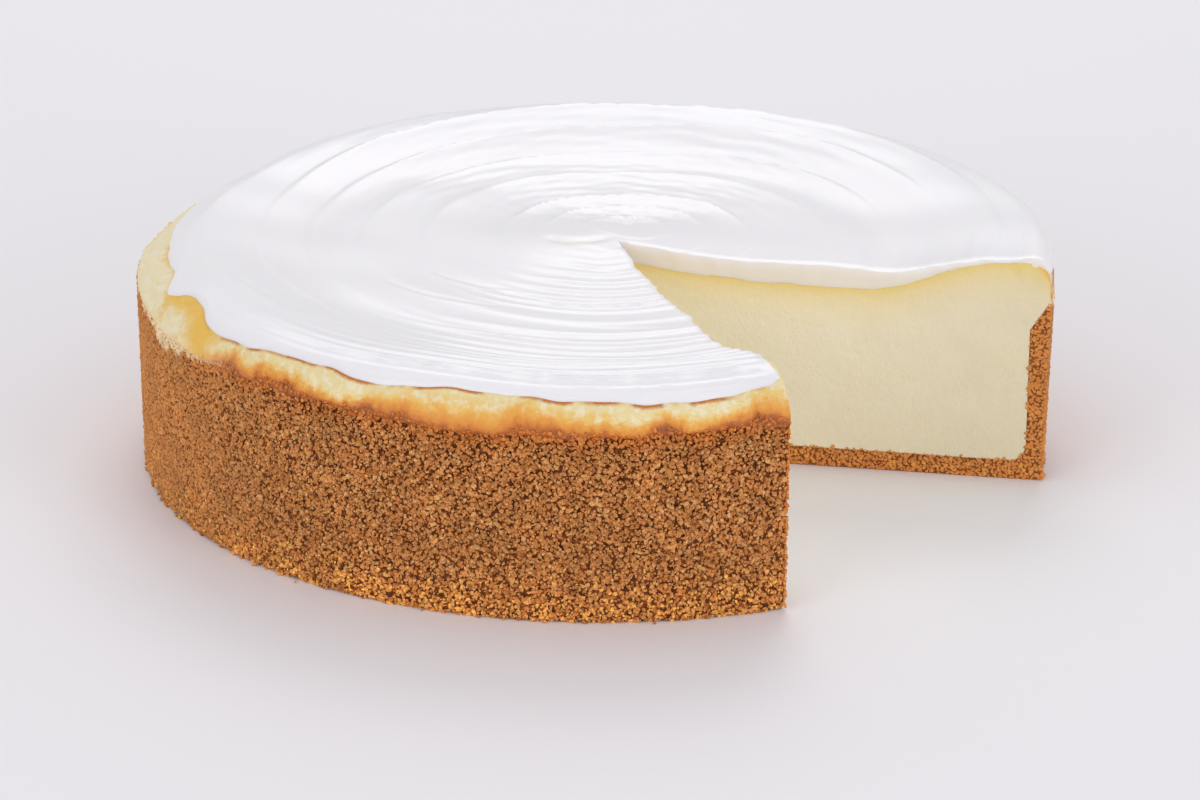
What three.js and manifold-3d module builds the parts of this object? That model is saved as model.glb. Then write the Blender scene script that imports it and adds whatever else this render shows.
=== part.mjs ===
// A baked cheesecake, 254 mm across, with one wedge already taken from its front right.
// Three layers run through it and show at the cut: a crumb crust that is its base and wall,
// the baked filling whose risen rim turns over the crust, and a cream topping spread in rings.
// Lengths are in millimetres, +Z is up, and the cake stands on z = 0 round the Z axis.
import * as THREE from "three";
import { mergeVertices } from "three/addons/utils/BufferGeometryUtils.js";
import Module from "manifold-3d";

// Whole cake
const cakeRadius = 127;
const footRadius = 125.8;
const columns = 72;
const layerGap = 0.3;

// Missing wedge, whose point lies a little off the cake's middle
const cutPoint = new THREE.Vector2(5.7, -3.9);
const nearCutDegrees = -68.2;
const farCutDegrees = -9.1;

// Crumb crust: a wall pressed against the side of the tin, and a base
const wallThickness = 6.5;
const baseThickness = 6;
const innerFillet = 4.5;
const footBevel = 1.2;
const wallRows = 6;
const crumbDepth = 0.4;
const crumbWaves = [13, 19, 26, 34];
const crustHeight = 54.2;
const crustPeak = { turn: 188, rise: 2.4, sharpness: 10 };
const crustRagged = 0.8;
const crustRaggedWaves = [3, 5, 11, 17, 29];
const crustSlope = 9;

// Baked filling: a sunken middle, and a hump near the rim that rolls over the crust
const dishHeight = 53.6;
const middleSwell = 4.2;
const middleSwellRadius = 26;
const humpHeight = 63.6;
const humpDip = { turn: 165, rise: -2.2, sharpness: 8 };
const riseStart = 76;
const humpRadius = 113;
const rimRoundness = 2.1;
const rimSquareness = { turn: 0, rise: 1.1, sharpness: 4 };
const rimSteps = 6;

// Cream topping: deep over the sunken middle, thin over the hump, thicker where it overhangs
const toppingDepth = 5.4;
const toppingSkin = 1.5;
const thinningStart = 70;
const edgeInset = 3.6;
const edgeOverhang = { turn: 0, rise: -2.6, sharpness: 4 };
const edgeRetreat = { turn: 175, rise: 5.5, sharpness: 8 };
const edgeWander = 0.7;
const edgeWanderWaves = [5, 8, 13, 17];
const lipShares = [0.4, 0.68, 0.85, 0.94];
const lipWidth = 2.4;
const lipHeight = 0.8;
const lipSwell = { turn: 0, rise: 1.4, sharpness: 4 };

// Rings left by the spreading knife, round a middle of their own: each rises gently outwards
// to a crest, and drops steeply to the crease where the next one starts
const ringMiddle = new THREE.Vector2(9, 12);
const ringStart = 14;
const ringPitch = 19;
const ringHeight = 0.9;
const ringDropShare = 0.2;
const ringRisePower = 1.4;
const ringFade = 9;
const ringDrift = 1.5;
const ringDriftWaves = [1, 2, 3, 5];
const toppingRings = 38;

// Radii where the filling's top and the topping's underside both have a ring of corners
const bedRadii = [8, 16, 26, 38, 54, 70, 77, 82, 87, 92, 97, 102, 107];

const crustColor = 0xa4683a;
const fillingColor = 0xefdca8;
const toppingColor = 0xf4f1ec;

// The crust's top edge slopes, so a gap square to it is more than that upright
const rimGap = layerGap * Math.hypot(1, crustSlope / wallThickness);

const wasm = await Module();
wasm.setup();

const { lerp, smoothstep } = THREE.MathUtils;

// A wobble round the cake, about -1 to 1, from waves with whole counts to a turn.
function wobble(seed, waveCounts) {
  THREE.MathUtils.seededRandom(seed);
  const waves = waveCounts.map((count) => ({
    count,
    phase: 2 * Math.PI * THREE.MathUtils.seededRandom(),
  }));
  const share = 1 / Math.sqrt(waves.length);
  return (angle) =>
    waves.reduce((sum, wave) => sum + share * Math.cos(wave.count * angle + wave.phase), 0);
}

// A rise that is fullest at one turn round the cake and fades away from it.
function swellAt(angle, { turn, rise, sharpness }) {
  const away = angle - THREE.MathUtils.degToRad(turn);
  return rise * ((1 + Math.cos(away)) / 2) ** sharpness;
}

const crustTopWobble = wobble(11, crustRaggedWaves);
const edgeWobble = wobble(23, edgeWanderWaves);
const ringWobble = wobble(37, ringDriftWaves);
const crumbWobbles = Array.from({ length: wallRows + 1 }, (_, row) => wobble(101 + row, crumbWaves));

function crustTop(angle) {
  return crustHeight + swellAt(angle, crustPeak) + crustRagged * crustTopWobble(angle);
}

// Height of the filling's top: a swell in the middle, the rise to the hump, and outside it the
// rounded rim that comes down to the crust's top edge.
function bedHeight(radius, angle) {
  const hump = humpHeight + swellAt(angle, humpDip);
  if (radius > humpRadius) {
    const foot = crustTop(angle) + rimGap;
    const outward = Math.min(1, (radius - humpRadius) / (cakeRadius - humpRadius));
    const power = rimRoundness + swellAt(angle, rimSquareness);
    return foot + (hump - foot) * (1 - outward ** power) ** (1 / power);
  }
  const swell = middleSwell * Math.exp(-((radius / middleSwellRadius) ** 2));
  return dishHeight + swell + (hump - dishHeight) * smoothstep(radius, riseStart, humpRadius);
}

function toppingEdge(angle) {
  const inset = edgeInset + swellAt(angle, edgeOverhang) + swellAt(angle, edgeRetreat);
  return cakeRadius - inset - edgeWander * edgeWobble(angle);
}

// Height of the spreading rings, about -1 to 1.
function ringProfile(radius, angle) {
  const spot = new THREE.Vector2(radius * Math.cos(angle), radius * Math.sin(angle)).sub(ringMiddle);
  const outward = spot.length() + ringDrift * ringWobble(spot.angle()) - ringStart;
  const share = THREE.MathUtils.euclideanModulo(outward / ringPitch, 1);
  const rise = Math.min(1, share / (1 - ringDropShare)) ** ringRisePower;
  const drop = smoothstep(share, 1 - ringDropShare, 1);
  return 2 * (rise - drop) - 1;
}

// Height of the topping's surface: its body over the filling, and the rings on it.
function toppingHeight(radius, angle) {
  const edge = toppingEdge(angle);
  const thinning = smoothstep(radius, thinningStart, humpRadius);
  const body = bedHeight(radius, angle) + lerp(toppingDepth, toppingSkin, thinning);
  const fade = 1 - smoothstep(radius, edge - ringFade, edge);
  return body + ringHeight * fade * ringProfile(radius, angle);
}

// Outlines run from the axis at the bottom to the axis at the top, at one angle round the cake.

function crustOutline(angle) {
  const top = crustTop(angle);
  const innerRadius = cakeRadius - wallThickness;
  const wall = crumbWobbles.map((crumbs, row) => {
    const share = row / wallRows;
    const relief = crumbDepth * Math.sin(Math.PI * share) * crumbs(angle);
    const radius = lerp(footRadius, cakeRadius, share) + relief;
    return new THREE.Vector2(radius, lerp(footBevel, top, share));
  });
  return [
    new THREE.Vector2(0, 0),
    new THREE.Vector2(footRadius - footBevel, 0),
    ...wall,
    new THREE.Vector2(innerRadius, top - crustSlope),
    new THREE.Vector2(innerRadius, baseThickness + innerFillet),
    new THREE.Vector2(innerRadius - 0.3 * innerFillet, baseThickness + 0.3 * innerFillet),
    new THREE.Vector2(innerRadius - innerFillet, baseThickness),
    new THREE.Vector2(0, baseThickness),
  ];
}

function fillingOutline(angle) {
  const crust = crustTop(angle);
  const floor = baseThickness + layerGap;
  const side = cakeRadius - wallThickness - layerGap;
  const onTop = (radius) => new THREE.Vector2(radius, bedHeight(radius, angle));
  const rim = [];
  for (let step = rimSteps; step > 0; step -= 1) {
    const share = Math.sin((0.5 * Math.PI * step) / rimSteps);
    rim.push(onTop(lerp(humpRadius, cakeRadius, share)));
  }
  return [
    new THREE.Vector2(0, floor),
    new THREE.Vector2(side - innerFillet, floor),
    new THREE.Vector2(side - 0.3 * innerFillet, floor + 0.3 * innerFillet),
    new THREE.Vector2(side, floor + innerFillet),
    new THREE.Vector2(side, crust - crustSlope),
    ...rim,
    onTop(humpRadius),
    ...bedRadii.map(onTop).reverse(),
    onTop(0),
  ];
}

function toppingOutline(angle) {
  const edge = toppingEdge(angle);
  const onBed = (radius) => new THREE.Vector2(radius, bedHeight(radius, angle) + layerGap);
  const lip = lipHeight + swellAt(angle, lipSwell);
  const crown = [];
  for (let ring = toppingRings; ring >= 0; ring -= 1) {
    const radius = ((edge - lipWidth) * ring) / toppingRings;
    crown.push(new THREE.Vector2(radius, toppingHeight(radius, angle)));
  }
  return [
    onBed(0),
    ...bedRadii.map(onBed),
    onBed(humpRadius),
    ...lipShares.map((share) => onBed(lerp(humpRadius, edge, share))),
    new THREE.Vector2(edge, onBed(edge).y + 0.3 * lip),
    new THREE.Vector2(edge - 0.3 * lipWidth, onBed(edge).y + lip),
    ...crown,
  ];
}

// A closed body spun round the Z axis from an outline that changes with the angle.
function spunBody(outlineAt) {
  const geometry = new THREE.LatheGeometry(outlineAt(0), columns);
  const corners = geometry.getAttribute("position");
  for (let column = 0; column <= columns; column += 1) {
    const angle = (2 * Math.PI * (column % columns)) / columns;
    const outline = outlineAt(angle);
    outline.forEach(({ x: radius, y: height }, row) => {
      const corner = column * outline.length + row;
      corners.setXYZ(corner, radius * Math.cos(angle), radius * Math.sin(angle), height);
    });
  }
  return geometry;
}

// A prism over the missing wedge, taller than the cake and reaching past its rim.
function missingWedge() {
  const reach = 2.4 * cakeRadius;
  const height = 2 * cakeRadius;
  const tipOf = (degrees) => {
    const angle = THREE.MathUtils.degToRad(degrees);
    return new THREE.Vector2(Math.cos(angle), Math.sin(angle)).multiplyScalar(reach).add(cutPoint);
  };
  const outline = new THREE.Shape([cutPoint, tipOf(nearCutDegrees), tipOf(farCutDegrees)]);
  const prism = new THREE.ExtrudeGeometry(outline, { depth: height, bevelEnabled: false });
  return prism.translate(0, 0, -0.5 * height);
}

function solidOf(geometry) {
  geometry.deleteAttribute("normal");
  geometry.deleteAttribute("uv");
  const merged = mergeVertices(geometry);
  return new wasm.Manifold(
    new wasm.Mesh({
      numProp: 3,
      vertProperties: merged.getAttribute("position").array,
      triVerts: new Uint32Array(merged.getIndex().array),
    }),
  );
}

function geometryOf(solid) {
  const mesh = solid.getMesh();
  const geometry = new THREE.BufferGeometry();
  geometry.setAttribute("position", new THREE.BufferAttribute(mesh.vertProperties, mesh.numProp));
  geometry.setIndex(new THREE.BufferAttribute(mesh.triVerts, 1));
  geometry.computeVertexNormals();
  return geometry;
}

// One layer with the wedge taken out, as a named mesh.
function cutLayer(name, outlineAt, wedge, look) {
  const solid = solidOf(spunBody(outlineAt)).subtract(wedge);
  const mesh = new THREE.Mesh(geometryOf(solid), new THREE.MeshStandardMaterial(look));
  mesh.name = name;
  return mesh;
}

const wedge = solidOf(missingWedge());
const cheesecake = new THREE.Group();
cheesecake.add(
  cutLayer("crumb_crust", crustOutline, wedge, { color: crustColor, roughness: 0.9, metalness: 0 }),
  cutLayer("baked_filling", fillingOutline, wedge, { color: fillingColor, roughness: 0.5, metalness: 0 }),
  cutLayer("cream_topping", toppingOutline, wedge, { color: toppingColor, roughness: 0.3, metalness: 0 }),
);

// The crumbs make the outline a little uneven, so the cake is set back over its own middle.
const middle = new THREE.Box3().setFromObject(cheesecake).getCenter(new THREE.Vector3());
cheesecake.position.set(-middle.x, -middle.y, 0);

export default cheesecake;
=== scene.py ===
import math
import bpy
import bmesh
import numpy as np
from mathutils import Matrix, Vector


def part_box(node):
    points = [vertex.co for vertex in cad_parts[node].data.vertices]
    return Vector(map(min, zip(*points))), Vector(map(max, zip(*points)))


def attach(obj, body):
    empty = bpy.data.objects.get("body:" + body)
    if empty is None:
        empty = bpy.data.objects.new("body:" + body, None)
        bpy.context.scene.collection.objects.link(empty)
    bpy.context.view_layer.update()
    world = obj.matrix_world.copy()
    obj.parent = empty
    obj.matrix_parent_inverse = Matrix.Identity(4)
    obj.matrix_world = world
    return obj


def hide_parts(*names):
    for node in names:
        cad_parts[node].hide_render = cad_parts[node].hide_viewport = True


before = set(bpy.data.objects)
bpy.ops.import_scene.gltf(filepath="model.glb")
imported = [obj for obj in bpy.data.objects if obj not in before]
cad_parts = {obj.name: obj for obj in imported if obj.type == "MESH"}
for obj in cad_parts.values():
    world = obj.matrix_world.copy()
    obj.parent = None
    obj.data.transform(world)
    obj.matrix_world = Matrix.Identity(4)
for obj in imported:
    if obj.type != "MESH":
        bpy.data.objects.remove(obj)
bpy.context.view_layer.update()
mm = 0.001
fillingLow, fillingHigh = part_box("baked_filling")

# the whole cake: its axis, its radius and the wedge that is missing
cake = dict(
    axis=((fillingLow.x + fillingHigh.x) / 2, (fillingLow.y + fillingHigh.y) / 2),
    radius=(fillingHigh.x - fillingLow.x) / 2,
    cutPoint=(5.7 * mm, -3.9 * mm),
    farCut=math.radians(-9.1),
    nearCut=math.radians(291.8),  # both cuts are headings from the cut point
    weld=2e-6,
)
print("frame loaded, cake radius", round(cake["radius"] / mm, 1), "mm")


# small helpers for shapes that change with the turn round the cake

def smoothStep(value, start, end):
    share = np.clip((value - start) / (end - start), 0, 1)
    return share * share * (3 - 2 * share)


def swells(turn, bumps):  # a bump is (turn in degrees, rise, sharpness): fullest there, fading away
    total = 0 * turn
    for middle, rise, sharpness in bumps:
        total = total + rise * ((1 + np.cos(turn - math.radians(middle))) / 2) ** sharpness
    return total


def stretch(turn, start, full, ebb, end):  # 1 from full to ebb, in degrees, and 0 outside start and end
    around = np.mod(np.degrees(turn), 360)
    return smoothStep(around, start, full) * (1 - smoothStep(around, ebb, end))


def ripple(seed, counts):  # about -1 to 1, from waves with whole counts to a turn
    phases = np.random.default_rng(seed).uniform(0, 2 * math.pi, len(counts))

    def height(turn):
        waves = [np.cos(count * turn + phase) for count, phase in zip(counts, phases)]
        return sum(waves) / math.sqrt(len(counts))
    return height


def mottle(seed, size, waves=12):  # soft noise in space, about -1 to 1, with lumps of that size
    rng = np.random.default_rng(seed)
    headings = rng.normal(size=(waves, 3))
    headings /= np.linalg.norm(headings, axis=1, keepdims=True)
    pitches = size * rng.uniform(0.7, 1.8, waves)
    phases = rng.uniform(0, 2 * math.pi, waves)

    def height(x, y, z):
        total = 0
        for heading, pitch, phase in zip(headings, pitches, phases):
            along = heading[0] * x + heading[1] * y + heading[2] * z
            total = total + np.cos(2 * math.pi * along / pitch + phase)
        return total / math.sqrt(waves)
    return height


def onRim(turn):
    return cake["radius"] * np.cos(turn), cake["radius"] * np.sin(turn)


def polar(x, y):
    return np.hypot(x, y), np.arctan2(y, x)


def polarFrom(middle, radius, turn):  # the same place as seen from another middle
    return polar(radius * np.cos(turn) - middle[0], radius * np.sin(turn) - middle[1])


# crust: its top edge is what the filling's rim comes down to
crust = dict(
    height=52.3 * mm,
    peaks=[(180, 1.2, 36), (206, -0.6, 80), (232, 1.2, 90), (289, 0.8, 260)],  # turn, mm, sharpness
    ragged=0.45 * mm,
    wall=5.9 * mm,
    base=6.0 * mm,
    slope=8.6 * mm,
    fillet=4.5 * mm,
    footIn=1.2 * mm,
    columns=440,
)
raggedTop = ripple(11, [5, 11, 17, 29, 41])


def crustTop(turn):
    return crust["height"] + mm * swells(turn, crust["peaks"]) + crust["ragged"] * raggedTop(turn)


# fringe: how far the crumbs climb over the crust's top, in uneven tongues
fringe = dict(
    climb=0.7 * mm,
    tongues=0.8 * mm,
    lowest=-0.2 * mm,
    peaks=[  # turn, mm, sharpness
        (2, -1.6, 60), (172, -1.8, 30), (220.7, 2.0, 8000), (223.4, -1.6, 5000), (229, 1.3, 800),
        (235, -1.2, 3000), (239.5, 0.8, 1500), (257, -0.8, 1500), (265.5, 0.4, 1200),
        (274.7, -1.4, 4000), (278.4, 1.5, 3000), (282.6, -1.0, 6000), (290, 1.7, 1200)],
    shapes=[(0.5, mottle(92, 13 * mm)), (0.6, mottle(91, 5.5 * mm)), (0.3, mottle(93, 2.2 * mm))],
)


def fringeTop(turn):
    x, y = onRim(turn)
    tongues = sum(share * shape(x, y, 0) for share, shape in fringe["shapes"])
    climb = fringe["climb"] + fringe["tongues"] * tongues + mm * swells(turn, fringe["peaks"])
    return np.maximum(climb, fringe["lowest"])


# filling: sunken middle, a hump near the rim, and a shoulder that rolls over the crust
filling = dict(
    dish=53.6 * mm,
    middleRise=4.2 * mm,
    middleWidth=26 * mm,
    hump=63.6 * mm,
    humpPeaks=[(163, -3.6, 10), (292.5, 1.2, 120)],  # turn, mm, sharpness
    humpRadius=113 * mm,
    riseStart=76 * mm,
    roundness=2.1,  # 2 is a round shoulder, more is squarer and less is flatter
    squareness=[(20, 1.1, 4), (-9, 1.5, 60), (158, -1.0, 10)],
    lumps=0.28 * mm,
    lumpReach=3 * mm,  # the height over which they grow
    crumbly=0.15 * mm,
    crumblyReach=1.5 * mm,
    crumblyLeft=1.6,
    underLip=1.2 * mm,  # past the cream's edge, where the lumps begin
    skinDepth=1.5 * mm,
    cutDepth=0.1 * mm,
    cutLumps=[mottle(61, 11 * mm), mottle(62, 4 * mm)],
    goldLeast=2.3,  # in mm over the crumbs, how far the gold of the baked band reaches
    goldPeaks=[(256, 3.0, 70), (292.5, 3.0, 420), (222, 0.8, 300), (60, 2.0, 20), (130, 1.4, 40)],
    goldRagged=0.4,
    goldLowest=0.7,
    patch=dict(turns=(168, 182, 212, 222), widens=(197, 203), least=0.9, most=5.6, gone=9.0),
    unbaked=(125, 155, 206, 224),  # turns where the band stays pale
    paler=2.6,
    noLine=(2.5 * mm, 6 * mm),  # from the near cut, where the browned line fades in
    innerRows=22,
    rimRows=36,
    cutRows=44,
    columns=760,
    tuck=0.4 * mm,  # how far it reaches into the crust, so that no gap shows
)
rimWidth = cake["radius"] - filling["humpRadius"]
rimLumps = mottle(51, 9 * mm)
fineLumps = mottle(52, 3.4 * mm)
goldRipple = ripple(55, [7, 13, 23])


def shoulder(turn):  # its top, its foot and how square it is
    power = filling["roundness"] + swells(turn, filling["squareness"])
    return filling["hump"] + mm * swells(turn, filling["humpPeaks"]), crustTop(turn), power


def bedHeight(radius, turn):
    hump, foot, power = shoulder(turn)
    risen = smoothStep(radius, filling["riseStart"], filling["humpRadius"])
    middleRise = filling["middleRise"] * np.exp(-((radius / filling["middleWidth"]) ** 2))
    inside = filling["dish"] + middleRise + (hump - filling["dish"]) * risen
    outward = np.clip((radius - filling["humpRadius"]) / rimWidth, 0, 1)
    rolled = foot + (hump - foot) * np.clip(1 - outward ** power, 0, 1) ** (1 / power)
    return np.where(radius > filling["humpRadius"], rolled, inside)


def shoulderRadius(height, turn):  # where the outside of the filling is, above the crust's top
    hump, foot, power = shoulder(turn)
    upward = np.clip((height - foot) / (hump - foot), 0, 1)
    return filling["humpRadius"] + rimWidth * (1 - upward ** power) ** (1 / power)


def goldReach(turn):
    reach = filling["goldLeast"] + swells(turn, filling["goldPeaks"])
    return np.maximum(reach + filling["goldRagged"] * goldRipple(turn), filling["goldLowest"])


def patchReach(turn):  # how far past the cream's edge the top is golden, below nothing where it isn't
    patch = filling["patch"]
    wide = smoothStep(np.mod(np.degrees(turn), 360), *patch["widens"])
    reach = patch["least"] + (patch["most"] - patch["least"]) * wide
    return reach - patch["gone"] * (1 - stretch(turn, *patch["turns"]))


def unbaked(turn):
    return stretch(turn, *filling["unbaked"])


# cream: where it lies, how deep, and the rings that the spreading knife left in it
cream = dict(
    depth=5.4 * mm,
    skin=1.1 * mm,
    thinningStart=70 * mm,
    inset=4.1 * mm,
    bay=(152, 184, 204, 215),  # turns where the edge lies further in
    bayDepth=4.6 * mm,
    edgeBumps=[  # turn, mm, sharpness
        (-4, -3.6, 12), (199.2, -4.5, 1200), (221.5, -0.7, 180), (231, 0.9, 260), (242.5, -0.9, 500),
        (250.5, 0.8, 900), (256, 0.8, 120), (283, -1.1, 130), (293, 1.3, 1600)],
    wander=0.26 * mm,
    lip=1.3 * mm,
    lipSteps=6,
    lipBend=0.8,
    rimSwells=[(-4, 1.6, 9, 114, 126), (293, -0.6, 220, 96, 116)],  # the radii in mm over which each grows
    farSwell=dict(bumps=[(-9, 1.1, 12)], radius=62 * mm, width=22 * mm),
    lumps=0.25 * mm,
    reliefFade=4 * mm,
    rows=172,
    lowRows=15,
    cutRows=4,
    columns=470,
    sunk=0.3 * mm,
    proud=0.25 * mm,
    cutDepth=0.16 * mm,
    cutLumps=[mottle(71, 12 * mm), mottle(72, 5 * mm)],
    rounding=dict(depth=0.4 * mm, width=2.0 * mm, start=3 * mm),  # at both cuts
    nearRounding=dict(depth=0.5 * mm, width=4 * mm, start=92 * mm, full=112 * mm),
    leastDepth=0.35 * mm,
    steps=[-20, 16, 31, 57, 107, 190],  # in mm along the near cut, where the strokes left a step
    stepDepth=1.2 * mm,
    stepReach=9 * mm,
    stepStart=(3 * mm, 14 * mm),
    stepDrop=0.14,
)
edgeWander = ripple(23, [13, 23, 41, 67])
creamLumps = mottle(43, 34 * mm)


def toppingEdge(turn):
    inset = cream["inset"] + cream["bayDepth"] * stretch(turn, *cream["bay"])
    return cake["radius"] - inset - mm * swells(turn, cream["edgeBumps"]) - cream["wander"] * edgeWander(turn)


# rings: broad strokes, deepest at the back, and finer ones at the front
broad = dict(
    middle=(9 * mm, 12 * mm),
    creases=[-5, 13, 24.5, 36, 59, 75.5, 90.5, 104, 121, 140],
    height=0.85 * mm,
    drop=0.13,
    wander=0.9 * mm,
    streak=0.1 * mm,
    streakPitch=3.2 * mm,
    least=0.1,
    backward=(0.15, 0.95),
    calmRight=0.4,
    rightward=(0.5, 0.95),
)
fine = dict(
    creases=[8, 14, 18, 21.6, 26.4, 32.7, 38.5, 43.8, 47.5, 52, 61, 70.4, 76, 83, 90, 96,
             102, 107, 112.3, 115.4, 118.1, 120.8, 123.3, 127],
    height=0.32 * mm,
    drop=0.3,
    wander=0.6 * mm,
    fullest=264,
    span=46,
    spanGrowth=0.12,  # in degrees a mm
    ebb=(5.17, 5.6),
    ebbShare=0.85,
    middle=(16 * mm, 34 * mm),
    middleShare=0.35,
    quiet=dict(radius=57 * mm, width=7 * mm, share=0.75),
)
groove = dict(
    lines=[  # radius and drift in mm, and the turns between which each runs
        (100.4, -8, 193, 232), (118.0, -8, 205, 226), (58.0, -10, 204, 244), (73.0, -6, 214, 268),
        (114.0, -7, 236, 272), (45.0, -8, 200, 238), (86.0, -5, 222, 262)],
    depth=0.24 * mm,
    width=0.9 * mm,
    ridge=0.45,
    taper=0.7,
)
arc = dict(
    middle=(-4.5 * mm, 6.0 * mm),
    radius=10.0 * mm,
    width=2.2 * mm,
    depth=0.5 * mm,
    turns=(195, 230, 300, 335),  # as headings round its own middle
)
ringDrift = ripple(37, [1, 2, 3, 5])
fineDrift = ripple(41, [2, 3, 7])
creamStreaks = mottle(47, 1.0)


def stepProfile(reach, creases, drop, bend=1.9):  # rises gently outwards to a crest, then drops to the crease
    band = np.interp(reach, np.array(creases) * mm, np.arange(len(creases)))
    share = band - np.floor(band)
    rise = np.clip(share / (1 - drop), 0, 1) ** bend
    return 2 * (rise - smoothStep(share, 1 - drop, 1)) - 1


def ringRelief(radius, turn):
    reach, heading = polarFrom(broad["middle"], radius, turn)
    side = broad["least"] + (1 - broad["least"]) * smoothStep(np.sin(heading), *broad["backward"])
    side = side * (1 - broad["calmRight"] * smoothStep(np.cos(heading), *broad["rightward"]))
    strokes = stepProfile(reach + broad["wander"] * ringDrift(heading), broad["creases"], broad["drop"])
    streaks = creamStreaks(reach / broad["streakPitch"], 4 * np.cos(heading), 4 * np.sin(heading))
    return side * (broad["height"] * strokes + broad["streak"] * streaks)


def fineRelief(radius, turn):
    turn = np.where(np.sin(turn) < 0, np.abs(np.mod(turn, 2 * math.pi)), 0)
    span = np.radians(fine["span"] + fine["spanGrowth"] * radius / mm)
    fullest = math.radians(fine["fullest"])
    fade = smoothStep(turn, fullest - span, fullest) * (1 - fine["ebbShare"] * smoothStep(turn, *fine["ebb"]))
    fade = fade * (fine["middleShare"] + (1 - fine["middleShare"]) * smoothStep(radius, *fine["middle"]))
    quiet = fine["quiet"]
    calm = quiet["share"] * np.exp(-(((radius - quiet["radius"]) / quiet["width"]) ** 2))
    strokes = stepProfile(radius + fine["wander"] * fineDrift(turn), fine["creases"], fine["drop"])
    return fine["height"] * fade * (1 - calm) * strokes


def grooveRelief(radius, turn):  # thin lines where the knife's corner ran, each with a ridge beside it
    around = np.mod(np.degrees(turn), 360)
    total = 0
    for lineRadius, drift, start, end in groove["lines"]:
        share = np.clip((around - start) / (end - start), 0, 1)
        across = (radius - lineRadius * mm - drift * mm * (share - 0.5)) / groove["width"]
        taper = np.sin(math.pi * share) ** groove["taper"]
        total = total + taper * (groove["ridge"] * np.exp(-(across - 2) ** 2) - np.exp(-across ** 2))
    return groove["depth"] * total


def thinArc(radius, turn):  # where the stroke from the front starts, beside the middle swirl
    reach, heading = polarFrom(arc["middle"], radius, turn)
    return stretch(heading, *arc["turns"]) * np.exp(-(((reach - arc["radius"]) / arc["width"]) ** 2))


def toppingHeight(radius, turn):
    edge = toppingEdge(turn)
    thinning = smoothStep(radius, cream["thinningStart"], filling["humpRadius"])
    depth = cream["depth"] + (cream["skin"] - cream["depth"]) * thinning
    for middle, rise, sharpness, start, full in cream["rimSwells"]:
        grown = smoothStep(radius, start * mm, full * mm)
        depth = depth + mm * swells(turn, [(middle, rise, sharpness)]) * grown
    far = cream["farSwell"]
    farShare = np.exp(-(((radius - far["radius"]) / far["width"]) ** 2))
    depth = depth + mm * swells(turn, far["bumps"]) * farShare
    fade = 1 - smoothStep(radius, edge - cream["reliefFade"], edge)
    lumps = cream["lumps"] * creamLumps(radius * np.cos(turn), radius * np.sin(turn), 0)
    rings = ringRelief(radius, turn) + fineRelief(radius, turn) + grooveRelief(radius, turn)
    return bedHeight(radius, turn) + depth + fade * (rings + lumps - arc["depth"] * thinArc(radius, turn))


# sheets of quads that run along rays from the point of the cut

def cutApex(outwards):  # the cut point, moved so that both cut faces stand out by about half of that
    bisector = (cake["farCut"] + cake["nearCut"] - 2 * math.pi) / 2
    x, y = cake["cutPoint"]
    return x + outwards * math.cos(bisector), y + outwards * math.sin(bisector)


def headings(columns, edgeShares=(0.15, 0.35, 0.65)):  # a few closer together at each cut
    even = np.linspace(0, 1, columns + 1)
    near = np.array(edgeShares) * even[1]
    shares = np.sort(np.concatenate([even, near, 1 - near]))
    return cake["farCut"] + (cake["nearCut"] - cake["farCut"]) * shares


def rayReach(radius, heading, apex):  # how far along a ray from the apex a circle is met
    along = apex[0] * np.cos(heading) + apex[1] * np.sin(heading)
    inside = along ** 2 + radius ** 2 - apex[0] ** 2 - apex[1] ** 2
    return -along + np.sqrt(np.maximum(inside, 0))


def alongRay(reach, heading, apex):
    return apex[0] + reach * np.cos(heading), apex[1] + reach * np.sin(heading)


def addSheet(bm, x, y, z):  # one grid of quads with its corners at these rows of places
    rows, columns = x.shape
    patch = bmesh.new()
    bmesh.ops.create_grid(patch, x_segments=columns - 1, y_segments=rows - 1, size=1)
    mesh = bpy.data.meshes.new("sheet")
    patch.to_mesh(mesh)
    patch.free()
    corners = np.stack([x, y, z], axis=-1).astype(np.float32)
    mesh.vertices.foreach_set("co", corners.ravel())
    bm.from_mesh(mesh)
    bpy.data.meshes.remove(mesh)


def lengthShare(places):  # how far along an edge each of its corners is
    steps = np.linalg.norm(np.diff(places, axis=0), axis=1)
    return np.concatenate([[0], np.cumsum(steps)]) / steps.sum()


def cutFace(bm, upper, lower, rows, paired):  # fills a cut; the first corners of both edges go in pairs
    lowerShare = lengthShare(lower)
    rest = np.linspace(lowerShare[paired - 1], 1, len(upper) - paired + 1)[1:]
    share = np.concatenate([lowerShare[:paired], rest])
    nearest = np.abs(share[:, None] - lowerShare[None, :]).argmin(axis=1)
    ideal = np.stack([np.interp(share, lowerShare, lower[:, axis]) for axis in range(3)], axis=1)
    blend = np.linspace(0, 1, rows + 1)[:, None, None]
    places = upper[None] * (1 - blend) + ideal[None] * blend
    places[-1] = lower[nearest]
    addSheet(bm, *np.moveaxis(places, 2, 0))


def closeCuts(bm, upper, lower, rows, paired=1):  # a cut face between both ends of two sheets
    for column in (0, -1):
        top, low = (np.stack([part[:, column] for part in sheet], axis=1) for sheet in (upper, lower))
        cutFace(bm, top, low[::-1], rows, paired)


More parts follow.
